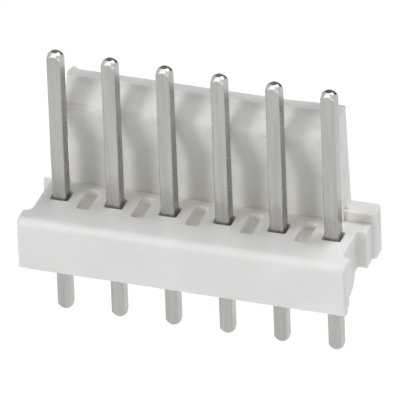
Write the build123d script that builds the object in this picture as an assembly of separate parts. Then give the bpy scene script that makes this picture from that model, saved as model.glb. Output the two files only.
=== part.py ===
from build123d import *
import os

# Vertical pin header with a friction wall, on a 2.54 mm grid.
# Millimetres. +X runs along the row of posts, +Y points back to the wall, +Z points up.
# The origin is on the board, under the middle of the row.

# Row of posts.
post_count = 6
pitch = 2.54
post_side = 0.64
tail_side = 0.60
post_corner_r = 0.04
tail_below_board = 3.36
post_above_base = 7.43
tail_step_z = 1.20

# Rounded mating tip and tail end, as radius and distance from the end.
tip_end_r = 0.17
tip_mid = (0.34, 0.15)
tip_side = (0.47, 0.46)
tail_end_r = 0.08
tail_mid = (0.28, 0.15)
tail_side_point = (0.46, 0.60)

# Base bar: one pitch of length for each post, and a little more at both ends.
base_end_extra = 0.03
base_front_y = -2.44
base_back_y = 2.42
base_top_z = 2.50
base_front_r = 0.38
base_corner_r = 0.15

# Notches in both ends of the base, behind its front bar. The right one is the shorter.
notch_depth = 0.42
notch_front_y = -1.58
left_notch_back_y = 1.27
right_notch_back_y = 0.63
notch_front_r = 0.30
notch_back_r = 0.15

# Wall behind the posts, with a friction ridge near its top.
wall_end_inset = 1.25
wall_end_draft = 0.07
wall_face_y = 1.27
wall_back_top_y = 2.20
ridge_y = 0.70
ridge_z = 6.72
ridge_under_z = 4.60
ridge_nose_r = 0.60
wall_top_front_y = 1.32
wall_top_z = 8.00
wall_top_drop = 0.20
wall_ear_rise = 0.13
left_ear_length = 0.27
right_rise_run = 2.40
right_rise_inset = 0.35

# Raised block at the right end of the wall, with a low edge across its underside.
block_overhang = 0.15
block_front_y = 1.42
block_top_z = 2.97
block_corner_r = 0.18
block_fillet_r = 0.25
block_under_low_y = 1.93
block_under_low_z = 0.42

# Shoulder at the left end of the wall, its top falling to the back.
shoulder_back_z = 1.60

# Hollows in the top between the posts.
pit_length_x = 0.62
pit_front_y = -0.85
pit_back_y = 0.80
pit_depth = 0.38
pit_corner_r = 0.12
pit_floor_r = 0.11

# Square holes for the posts, with a wider mouth at the top.
hole_clearance = 0.01
mouth_clearance = 0.11
mouth_depth = 0.35

# Relief under the base, so that a front strip and two end feet sit on the board.
relief_front_y = -0.62
relief_end_inset = 0.80
relief_z = 0.67
end_foot_back_y = -0.20
end_foot_slope_y = 0.27

# The front strip is thinner in front of both notches, and its back slopes there.
end_strip_back_y = -2.18
end_strip_slope_y = -1.92

# How far cutters reach past the surfaces they open, and joined pieces into each other.
beyond = 0.4 * base_top_z
overlap = 0.1 * beyond

nose_length = 3 * max(tip_side[1], tail_side_point[1])
post_top_z = base_top_z + post_above_base
half_length = pitch * post_count / 2 + base_end_extra
notch_inner_x = half_length - notch_depth
wall_half_length = half_length - wall_end_inset
block_outer_x = half_length + block_overhang
post_xs = [pitch * (i - (post_count - 1) / 2) for i in range(post_count)]


def block(low, high):
    """A box between two opposite corners."""
    size = [high[i] - low[i] for i in range(3)]
    middle = [(high[i] + low[i]) / 2 for i in range(3)]
    return Pos(*middle) * Box(*size)


def along_x(points, x_low, x_high):
    """A prism along X from (y, z) points."""
    outline = Polyline(*[(x_low, y, z) for y, z in points], close=True)
    return extrude(make_face(outline), x_high - x_low, dir=(1, 0, 0))


def along_y(points, y_low, y_high, fall=0.0):
    """A prism from y_low to y_high from (x, z) points, falling by a given height on its way."""
    outline = Polyline(*[(x, y_low, z) for x, z in points], close=True)
    run = y_high - y_low
    way = Vector(0, run, -fall)
    return extrude(make_face(outline), way.length, dir=way.normalized())


def edges_at(shape, axis, **where):
    """Edges parallel to an axis whose middle has the given coordinates."""
    found = []
    for edge in shape.edges().filter_by(axis):
        middle = edge.center()
        if all(abs(getattr(middle, name.upper()) - value) < 0.03 for name, value in where.items()):
            found.append(edge)
    return found


def relief_points(back_y, slope_y, stop_y):
    """Section of a relief whose front slopes back as it rises, from back_y to slope_y."""
    return [
        (back_y, -beyond),
        (back_y, 0),
        (slope_y, relief_z),
        (stop_y, relief_z),
        (stop_y, -beyond),
    ]


# Base bar with its rounded front.
base = block((-half_length, base_front_y, 0), (half_length, base_back_y, base_top_z))
base = fillet(edges_at(base, Axis.X, y=base_front_y, z=base_top_z), base_front_r)
base = fillet(edges_at(base, Axis.Z, y=base_front_y), base_corner_r)

# End notches, open at the side, and the thinner strip in front of them.
left_notch = (-half_length - beyond, -notch_inner_x, -notch_inner_x, left_notch_back_y)
right_notch = (notch_inner_x, half_length + beyond, notch_inner_x, right_notch_back_y)
for low_x, high_x, inner, back_y in (left_notch, right_notch):
    notch = block((low_x, notch_front_y, -beyond), (high_x, back_y, base_top_z + beyond))
    notch = fillet(edges_at(notch, Axis.Z, x=inner, y=notch_front_y), notch_front_r)
    notch = fillet(edges_at(notch, Axis.Z, x=inner, y=back_y), notch_back_r)
    base -= notch
    thinner = relief_points(end_strip_back_y, end_strip_slope_y, notch_front_y)
    base -= along_x(thinner, low_x, high_x)

# Left shoulder: its front closes the notch, and a wedge is cut from its top.
shoulder_cut = [
    (wall_face_y, base_top_z),
    (wall_face_y, base_top_z + beyond),
    (base_back_y + beyond, base_top_z + beyond),
    (base_back_y + beyond, shoulder_back_z),
    (base_back_y, shoulder_back_z),
]
base -= along_x(shoulder_cut, -half_length - beyond, -wall_half_length)

# Raised block on the right, beside the wall.
right_block = block(
    (wall_half_length - wall_end_draft, block_front_y, relief_z),
    (block_outer_x, base_back_y, block_top_z),
)
right_block = fillet(edges_at(right_block, Axis.Z, x=block_outer_x), block_corner_r)
top_edge = edges_at(right_block, Axis.X, y=block_front_y, z=block_top_z)
right_block = fillet(top_edge, block_corner_r / 2)
low_edge = [
    (block_front_y, relief_z),
    (block_under_low_y, block_under_low_z),
    (base_back_y, relief_z),
]
right_block += along_x(low_edge, notch_inner_x, block_outer_x - block_corner_r)

# Friction wall: its profile in (y, z), met with its front outline.
wall_high = wall_top_z + beyond
wall_low = base_top_z - overlap
profile = [
    (wall_face_y, wall_low),
    (wall_face_y, ridge_under_z),
    (ridge_y, ridge_z),
    (wall_top_front_y, wall_top_z),
    (wall_top_front_y, wall_high),
    (wall_back_top_y, wall_high),
    (wall_back_top_y, wall_top_z - wall_top_drop),
    (base_back_y, base_top_z),
    (base_back_y, wall_low),
]
wall = along_x(profile, -half_length, half_length)
wall = fillet(edges_at(wall, Axis.X, y=ridge_y, z=ridge_z), ridge_nose_r)

# The outline has a small ear on the left and a slow rise on the right, and falls to the back.
ear_z = wall_top_z + wall_ear_rise
top_half_length = wall_half_length - wall_end_draft
rise_end_x = top_half_length - right_rise_inset
outline = [
    (-wall_half_length, wall_low),
    (-top_half_length, ear_z),
    (-top_half_length + left_ear_length, wall_top_z),
    (rise_end_x - right_rise_run, wall_top_z),
    (rise_end_x, ear_z),
    (top_half_length, ear_z),
    (wall_half_length, wall_low),
]
fall_rate = wall_top_drop / (wall_back_top_y - wall_top_front_y)
lifted = [(x, z + fall_rate * beyond) for x, z in outline]
wall_start_y = wall_top_front_y - beyond
wall_end_y = base_back_y + beyond
wall &= along_y(lifted, wall_start_y, wall_end_y, fall=fall_rate * (wall_end_y - wall_start_y))

housing = base + right_block + wall

# Cove between the right end of the wall and the raised block.
side_cove_x = wall_half_length + block_fillet_r
side_cove_z = block_top_z + block_fillet_r
side_cove = block(
    (wall_half_length - overlap, block_front_y + block_corner_r, block_top_z - overlap),
    (side_cove_x, wall_back_top_y, side_cove_z),
)
side_cove -= Pos(side_cove_x, 0, side_cove_z) * Rot(90, 0, 0) * Cylinder(block_fillet_r, 4 * base_back_y)
housing += side_cove

# Hollows between the posts.
for left, right in zip(post_xs, post_xs[1:]):
    middle = (left + right) / 2
    pit = block(
        (middle - pit_length_x / 2, pit_front_y, base_top_z - pit_depth),
        (middle + pit_length_x / 2, pit_back_y, base_top_z + beyond),
    )
    pit = fillet(pit.edges().filter_by(Axis.Z), pit_corner_r)
    pit = fillet(pit.faces().sort_by(Axis.Z)[0].edges(), pit_floor_r)
    housing -= pit

# Post holes, each with a wider mouth.
for x in post_xs:
    half = post_side / 2 + hole_clearance
    housing -= block((x - half, -half, -beyond), (x + half, half, base_top_z + beyond))
    wide = half + mouth_clearance
    mouth = block(
        (x - wide, -wide, base_top_z - mouth_depth),
        (x + wide, wide, base_top_z + beyond),
    )
    mouth = fillet(mouth.edges().filter_by(Axis.Z), mouth_clearance)
    housing -= mouth

# Relief under the row, and behind the sloping back of both end feet.
relief_half_length = half_length - relief_end_inset
housing -= block(
    (-relief_half_length, relief_front_y, -beyond),
    (relief_half_length, base_back_y + beyond, relief_z),
)
behind_feet = relief_points(end_foot_back_y, end_foot_slope_y, block_front_y)
housing -= along_x(behind_feet, -half_length - beyond, half_length + beyond)
housing -= block(
    (-half_length - beyond, block_front_y - overlap, -beyond),
    (notch_inner_x, base_back_y + beyond, relief_z),
)
under_block = [
    (block_front_y, -beyond),
    (block_front_y, relief_z),
    (block_under_low_y, block_under_low_z),
    (base_back_y, relief_z),
    (base_back_y + beyond, relief_z),
    (base_back_y + beyond, -beyond),
]
housing -= along_x(under_block, notch_inner_x, block_outer_x + beyond)

housing = housing.clean()


def rounded_end(end_r, mid, side_point, z_end, towards):
    """A round-nosed body to meet a square bar with: towards is +1 for an upper end."""
    start = (end_r, 0, z_end)
    between = (mid[0], 0, z_end - towards * mid[1])
    finish = (side_point[0], 0, z_end - towards * side_point[1])
    wide = (post_side, 0, z_end - towards * nose_length)
    foot = (0, 0, z_end - towards * nose_length)
    outline = [
        Line((0, 0, z_end), start),
        ThreePointArc(start, between, finish),
        Line(finish, wide),
        Line(wide, foot),
        Line(foot, (0, 0, z_end)),
    ]
    return revolve(make_face(outline), Axis.Z)


def square_bar(side, z_low, z_high):
    """A square bar on the Z axis with slightly rounded edges."""
    bar = block((-side / 2, -side / 2, z_low), (side / 2, side / 2, z_high))
    return fillet(bar.edges().filter_by(Axis.Z), post_corner_r)


# One post: an upper bar and a slightly thinner tail, both with rounded ends.
tip = square_bar(post_side, post_top_z - nose_length, post_top_z)
tip = tip & rounded_end(tip_end_r, tip_mid, tip_side, post_top_z, 1)
tail_end = square_bar(tail_side, -tail_below_board, nose_length - tail_below_board)
tail_end = tail_end & rounded_end(tail_end_r, tail_mid, tail_side_point, -tail_below_board, -1)
post = square_bar(post_side, tail_step_z, post_top_z - nose_length)
post += square_bar(tail_side, nose_length - tail_below_board, tail_step_z)
post = (post + tip + tail_end).clean()

os.makedirs("parts", exist_ok=True)
export_step(housing, "parts/housing.step")
for i, x in enumerate(post_xs):
    export_step(Pos(x, 0, 0) * post, "parts/post_%d.step" % (i + 1))
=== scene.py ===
import math

import bpy
from mathutils import Matrix, Vector


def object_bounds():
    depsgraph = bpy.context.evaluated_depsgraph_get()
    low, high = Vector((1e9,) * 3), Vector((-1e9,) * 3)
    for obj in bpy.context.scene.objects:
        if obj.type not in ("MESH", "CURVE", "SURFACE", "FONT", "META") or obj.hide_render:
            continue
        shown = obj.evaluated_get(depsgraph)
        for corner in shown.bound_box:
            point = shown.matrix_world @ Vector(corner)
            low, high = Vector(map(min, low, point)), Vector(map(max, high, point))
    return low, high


# Lengths are in metres, and MM turns millimetres into them.
MM = 0.001
WHITE = (1, 1, 1, 1)

# The photograph, and where its camera stood: in front, to the right and above.
PHOTO_WIDTH = 400
SENSOR_WIDTH = 36.0
CAMERA_YAW = 19.87
CAMERA_ELEVATION = 31.5
CAMERA_ROLL = -2.21
CAMERA_DISTANCE = 530.56 * MM
PIXELS_PER_MM = 22.575
ORIGIN_PIXEL_X = 198.95
ORIGIN_PIXEL_Y = 263.60

# Floor and world. The share is how much of the floor's own shading the camera doesn't see.
FLOOR_HALF = 400 * MM
FLOOR_COLOUR = (0.90, 0.90, 0.90, 1)
FLOOR_GLOW = 1.05
FLOOR_GLOW_SHARE = 0.92
SKY_LEVEL = 0.17
LIGHT_TINT = (0.975, 0.99, 1.032)

# Lamps: azimuth, elevation, size, and what each adds to a white surface that faces it.
LAMP_DISTANCE = 250 * MM
LAMPS = (
    ("left_key", -38, 20, 70 * MM, 0.39),
    ("front_fill", 10, 20, 100 * MM, 0.05),
    ("top_fill", 0, 82, 120 * MM, 0.115),
    ("right_key", 42, 22, 90 * MM, 0.13),
    ("right_side", 72, 25, 120 * MM, 0.02),
    ("right_back", 142, 60, 150 * MM, 0.60),
)

# Cards in the reflections: azimuth, elevation, distance, size and level.
CARDS = (
    ("dark_back", 180, 8, 40 * MM, 80 * MM, 0.12),
    ("bright_front", -29, 44, 200 * MM, 270 * MM, 2.3),
)

# Most values of a noise lie in this range.
NOISE_LOW = 0.35
NOISE_HIGH = 0.65

# Nylon of the housing: a clouded base colour, with painted warm shade in recesses and painted
# shade greying the wall's top.
NYLON_COLOUR = (0.80, 0.792, 0.758, 1)
NYLON_DARKER = (0.77, 0.76, 0.722, 1)
NYLON_CLOUD_SCALE = 0.5
NYLON_CLOUD_DETAIL = 3.0
# Painted shade: recesses get a darker, warmer colour, masked by ambient occlusion.
NYLON_PAINTED_RECESS_SHADE = (0.775, 0.745, 0.665, 1)
PAINTED_SHADE_REACH = 2.5 * MM
PAINTED_SHADE_CLOSED = 0.5
PAINTED_SHADE_OPEN = 0.9
PAINTED_SHADE_LEAST = 0.55
# Painted shade: the wall's top is greyed by height alone.
NYLON_PAINTED_TOP_SHADE = (0.63, 0.628, 0.60, 1)
PAINTED_TOP_SHADE_FROM = 7.65 * MM
PAINTED_TOP_SHADE_TO = 8.05 * MM
NYLON_ROUGHNESS = (0.36, 0.48)
NYLON_IOR = 1.53
NYLON_SPECULAR = 0.25
NYLON_SCATTER_SHARE = 0.5
NYLON_SCATTER_RADIUS = (1.0, 0.9, 0.7)
NYLON_SCATTER_DEPTH = 0.45 * MM
NYLON_GRAIN_SCALE = 9.0
NYLON_GRAIN_DETAIL = 4.0
NYLON_GRAIN_HEIGHT = 0.01 * MM
NYLON_GRAIN_STRENGTH = 0.35
HOUSING_EDGE = 0.07 * MM

# Tin plate of the posts: drawn streaks along them, and blotches in the gloss.
TIN_COLOUR = (0.475, 0.47, 0.453, 1)
TIN_DARKER = (0.415, 0.41, 0.388, 1)
TIN_STREAK_SCALE = 5.0
TIN_STREAK_DETAIL = 3.0
TIN_STREAK_STRETCH = (1, 1, 0.06)
TIN_STREAK_HEIGHT = 0.004 * MM
TIN_STREAK_STRENGTH = 0.15
TIN_BLOTCH_SCALE = 1.2
TIN_BLOTCH_DETAIL = 4.0
TIN_ROUGHNESS = (0.22, 0.34)
POST_EDGE = 0.02 * MM

# Softened edges of both materials.
WELD_DISTANCE = 0.0005 * MM
EDGE_SEGMENTS = 2
SHARP_ANGLE = 35


def direction(azimuth, elevation):
    """Unit vector towards a place round the object: azimuth 0 is the front, 90 the right."""
    a = math.radians(azimuth)
    e = math.radians(elevation)
    return Vector((math.sin(a) * math.cos(e), -math.cos(a) * math.cos(e), math.sin(e)))


def add_object(name, data):
    made = bpy.data.objects.new(name, data)
    bpy.context.scene.collection.objects.link(made)
    return made


def aimed(place):
    """Matrix at a place, with its -Z axis towards the origin."""
    turn = (-place).to_track_quat("-Z", "Y")
    return Matrix.LocRotScale(place, turn, None)


def add_camera():
    """The photograph's camera, with the frame's origin at the same pixel."""
    back = direction(CAMERA_YAW, CAMERA_ELEVATION)
    level = direction(CAMERA_YAW + 90, 0)
    upright = back.cross(level)
    roll = math.radians(CAMERA_ROLL)
    right = math.cos(roll) * level + math.sin(roll) * upright
    up = math.cos(roll) * upright - math.sin(roll) * level
    pixel = MM / PIXELS_PER_MM
    middle = PHOTO_WIDTH / 2
    place = back * CAMERA_DISTANCE
    place += right * (middle - ORIGIN_PIXEL_X) * pixel
    place += up * (ORIGIN_PIXEL_Y - middle) * pixel

    data = bpy.data.cameras.new("camera")
    data.sensor_width = SENSOR_WIDTH
    data.lens = CAMERA_DISTANCE / pixel * SENSOR_WIDTH / PHOTO_WIDTH
    camera = add_object("camera", data)
    turn = Matrix((right, up, back)).transposed()
    camera.matrix_world = Matrix.Translation(place) @ turn.to_4x4()
    bpy.context.scene.camera = camera


def new_material(name):
    """A material with an empty node tree but for its output."""
    material = bpy.data.materials.new(name)
    material.use_nodes = True
    tree = material.node_tree
    tree.nodes.clear()
    output = tree.nodes.new("ShaderNodeOutputMaterial")
    return material, tree, output


def add_noise(tree, scale, detail, stretch=(1, 1, 1)):
    """Noise in object space, with scale in periods per millimetre."""
    place = tree.nodes.new("ShaderNodeTexCoord")
    mapping = tree.nodes.new("ShaderNodeMapping")
    mapping.inputs["Scale"].default_value = [part / MM for part in stretch]
    noise = tree.nodes.new("ShaderNodeTexNoise")
    noise.inputs["Scale"].default_value = scale
    noise.inputs["Detail"].default_value = detail
    tree.links.new(place.outputs["Object"], mapping.inputs["Vector"])
    tree.links.new(mapping.outputs["Vector"], noise.inputs["Vector"])
    return noise.outputs["Fac"]


def spread(tree, value, low, high, start=NOISE_LOW, end=NOISE_HIGH):
    """Maps a value from start..end to low..high."""
    node = tree.nodes.new("ShaderNodeMapRange")
    node.inputs["From Min"].default_value = start
    node.inputs["From Max"].default_value = end
    node.inputs["To Min"].default_value = low
    node.inputs["To Max"].default_value = high
    tree.links.new(value, node.inputs["Value"])
    return node.outputs["Result"]


def blend_colours(tree, share, first, second):
    """Mix of two colours, where a share of 1 gives the second. Each is a colour or an output."""
    node = tree.nodes.new("ShaderNodeMix")
    node.data_type = "RGBA"
    tree.links.new(share, node.inputs["Factor"])
    for name, colour in (("A", first), ("B", second)):
        if isinstance(colour, tuple):
            node.inputs[name].default_value = colour
        else:
            tree.links.new(colour, node.inputs[name])
    return node.outputs["Result"]


def add_bump(tree, height, distance, strength):
    node = tree.nodes.new("ShaderNodeBump")
    node.inputs["Distance"].default_value = distance
    node.inputs["Strength"].default_value = strength
    tree.links.new(height, node.inputs["Height"])
    return node.outputs["Normal"]


def nylon_colour(tree):
    """Clouded nylon, with painted warm shade in recesses and painted shade greying the wall's
    thin top.
    """
    clouds = spread(tree, add_noise(tree, NYLON_CLOUD_SCALE, NYLON_CLOUD_DETAIL), 0, 1)
    clouded = blend_colours(tree, clouds, NYLON_COLOUR, NYLON_DARKER)

    # Painted shade in recesses, where ambient occlusion finds them.
    shade_occlusion = tree.nodes.new("ShaderNodeAmbientOcclusion")
    shade_occlusion.inputs["Distance"].default_value = PAINTED_SHADE_REACH
    openness = shade_occlusion.outputs["AO"]
    unshaded_share = spread(tree, openness, PAINTED_SHADE_LEAST, 1, PAINTED_SHADE_CLOSED, PAINTED_SHADE_OPEN)
    recess_shaded = blend_colours(tree, unshaded_share, NYLON_PAINTED_RECESS_SHADE, clouded)

    # Painted shade greying the wall's top, from height alone.
    place = tree.nodes.new("ShaderNodeTexCoord")
    height = tree.nodes.new("ShaderNodeSeparateXYZ")
    tree.links.new(place.outputs["Object"], height.inputs["Vector"])
    painted_top_share = spread(tree, height.outputs["Z"], 0, 1, PAINTED_TOP_SHADE_FROM, PAINTED_TOP_SHADE_TO)
    return blend_colours(tree, painted_top_share, recess_shaded, NYLON_PAINTED_TOP_SHADE)


def nylon_material():
    """Natural nylon: satin, translucent, with a fine moulded grain."""
    material, tree, output = new_material("natural_nylon")
    shader = tree.nodes.new("ShaderNodeBsdfPrincipled")
    grain = add_noise(tree, NYLON_GRAIN_SCALE, NYLON_GRAIN_DETAIL)
    bump = add_bump(tree, grain, NYLON_GRAIN_HEIGHT, NYLON_GRAIN_STRENGTH)
    tree.links.new(nylon_colour(tree), shader.inputs["Base Color"])
    tree.links.new(spread(tree, grain, *NYLON_ROUGHNESS), shader.inputs["Roughness"])
    tree.links.new(bump, shader.inputs["Normal"])
    shader.inputs["IOR"].default_value = NYLON_IOR
    shader.inputs["Specular IOR Level"].default_value = NYLON_SPECULAR
    shader.inputs["Subsurface Weight"].default_value = NYLON_SCATTER_SHARE
    shader.inputs["Subsurface Radius"].default_value = NYLON_SCATTER_RADIUS
    shader.inputs["Subsurface Scale"].default_value = NYLON_SCATTER_DEPTH
    tree.links.new(shader.outputs["BSDF"], output.inputs["Surface"])
    return material


def tin_material():
    """Satin tin plate, with drawn streaks along the posts and slight blotches."""
    material, tree, output = new_material("tin_plate")
    shader = tree.nodes.new("ShaderNodeBsdfPrincipled")
    streaks = add_noise(tree, TIN_STREAK_SCALE, TIN_STREAK_DETAIL, TIN_STREAK_STRETCH)
    blotches = add_noise(tree, TIN_BLOTCH_SCALE, TIN_BLOTCH_DETAIL)
    colour = blend_colours(tree, spread(tree, streaks, 0, 1), TIN_COLOUR, TIN_DARKER)
    bump = add_bump(tree, streaks, TIN_STREAK_HEIGHT, TIN_STREAK_STRENGTH)
    tree.links.new(colour, shader.inputs["Base Color"])
    tree.links.new(spread(tree, blotches, *TIN_ROUGHNESS), shader.inputs["Roughness"])
    tree.links.new(bump, shader.inputs["Normal"])
    shader.inputs["Metallic"].default_value = 1
    tree.links.new(shader.outputs["BSDF"], output.inputs["Surface"])
    return material


def dress(node, material, edge):
    """Gives a solid its material and slightly softened edges."""
    node.data.materials.clear()
    node.data.materials.append(material)
    weld = node.modifiers.new("weld", "WELD")
    weld.merge_threshold = WELD_DISTANCE
    bevel = node.modifiers.new("soft_edges", "BEVEL")
    bevel.width = edge
    bevel.segments = EDGE_SEGMENTS
    bevel.limit_method = "ANGLE"
    bevel.angle_limit = math.radians(SHARP_ANGLE)
    bevel.harden_normals = False


def seen_directly(tree):
    """1 for rays from the camera, mirrored rays and transmitted rays, and 0 for the rest."""
    path = tree.nodes.new("ShaderNodeLightPath")
    total = path.outputs["Is Camera Ray"]
    for kind in ("Is Glossy Ray", "Is Transmission Ray"):
        node = tree.nodes.new("ShaderNodeMath")
        node.operation = "MAXIMUM"
        tree.links.new(total, node.inputs[0])
        tree.links.new(path.outputs[kind], node.inputs[1])
        total = node.outputs["Value"]
    return total


def square_mesh(name, half, height=0.0):
    """A level square that reaches from -half to half both ways."""
    mesh = bpy.data.meshes.new(name)
    corners = [(-1, -1), (1, -1), (1, 1), (-1, 1)]
    points = [(x * half, y * half, height) for x, y in corners]
    mesh.from_pydata(points, [], [(0, 1, 2, 3)])
    return mesh


def add_floor(lowest):
    """A plain floor under the tails, seen white but for a share of the object's shadow."""
    mesh = square_mesh("floor", FLOOR_HALF, lowest)
    floor = add_object("floor", mesh)

    material, tree, output = new_material("floor_white")
    paint = tree.nodes.new("ShaderNodeBsdfDiffuse")
    paint.inputs["Color"].default_value = FLOOR_COLOUR
    glow = tree.nodes.new("ShaderNodeEmission")
    glow.inputs["Strength"].default_value = FLOOR_GLOW
    share = spread(tree, seen_directly(tree), 0, FLOOR_GLOW_SHARE, 0, 1)
    mix = tree.nodes.new("ShaderNodeMixShader")
    tree.links.new(share, mix.inputs["Fac"])
    tree.links.new(paint.outputs["BSDF"], mix.inputs[1])
    tree.links.new(glow.outputs["Emission"], mix.inputs[2])
    tree.links.new(mix.outputs["Shader"], output.inputs["Surface"])
    mesh.materials.append(material)


def add_world():
    """White behind the object and in its reflections, and dimmer in the light it gives."""
    world = bpy.data.worlds.new("studio")
    bpy.context.scene.world = world
    world.use_nodes = True
    tree = world.node_tree
    tree.nodes.clear()
    output = tree.nodes.new("ShaderNodeOutputWorld")
    sky = tree.nodes.new("ShaderNodeBackground")
    seen = seen_directly(tree)
    level = spread(tree, seen, SKY_LEVEL, 1, 0, 1)
    colour = blend_colours(tree, seen, (*LIGHT_TINT, 1), WHITE)
    tree.links.new(level, sky.inputs["Strength"])
    tree.links.new(colour, sky.inputs["Color"])
    tree.links.new(sky.outputs["Background"], output.inputs["Surface"])


def add_softbox(name, azimuth, elevation, size, level):
    """A square area lamp, aimed at the origin."""
    data = bpy.data.lights.new(name, "AREA")
    data.size = size
    data.energy = level * math.pi ** 2 * LAMP_DISTANCE ** 2
    data.color = LIGHT_TINT
    lamp = add_object(name, data)
    lamp.matrix_world = aimed(direction(azimuth, elevation) * LAMP_DISTANCE)


def add_card(name, azimuth, elevation, distance, size, level):
    """A glowing card that only the shiny surfaces see."""
    mesh = square_mesh(name, size / 2)
    card = add_object(name, mesh)
    card.matrix_world = aimed(direction(azimuth, elevation) * distance)
    material, tree, output = new_material(name)
    glow = tree.nodes.new("ShaderNodeEmission")
    glow.inputs["Strength"].default_value = level
    tree.links.new(glow.outputs["Emission"], output.inputs["Surface"])
    mesh.materials.append(material)
    card.visible_camera = False
    card.visible_diffuse = False
    card.visible_shadow = False


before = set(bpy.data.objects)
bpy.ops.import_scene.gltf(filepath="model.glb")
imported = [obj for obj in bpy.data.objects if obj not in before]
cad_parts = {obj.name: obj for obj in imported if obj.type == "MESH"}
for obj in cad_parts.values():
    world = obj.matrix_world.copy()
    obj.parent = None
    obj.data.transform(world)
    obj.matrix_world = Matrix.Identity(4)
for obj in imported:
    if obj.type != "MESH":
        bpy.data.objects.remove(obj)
low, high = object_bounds()

nylon = nylon_material()
tin = tin_material()
for name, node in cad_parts.items():
    if name.startswith("post"):
        dress(node, tin, POST_EDGE)
    else:
        dress(node, nylon, HOUSING_EDGE)

bpy.context.scene.view_settings.view_transform = "Standard"
add_camera()
add_floor(low.z)
add_world()
for lamp in LAMPS:
    add_softbox(*lamp)
for card in CARDS:
    add_card(*card)
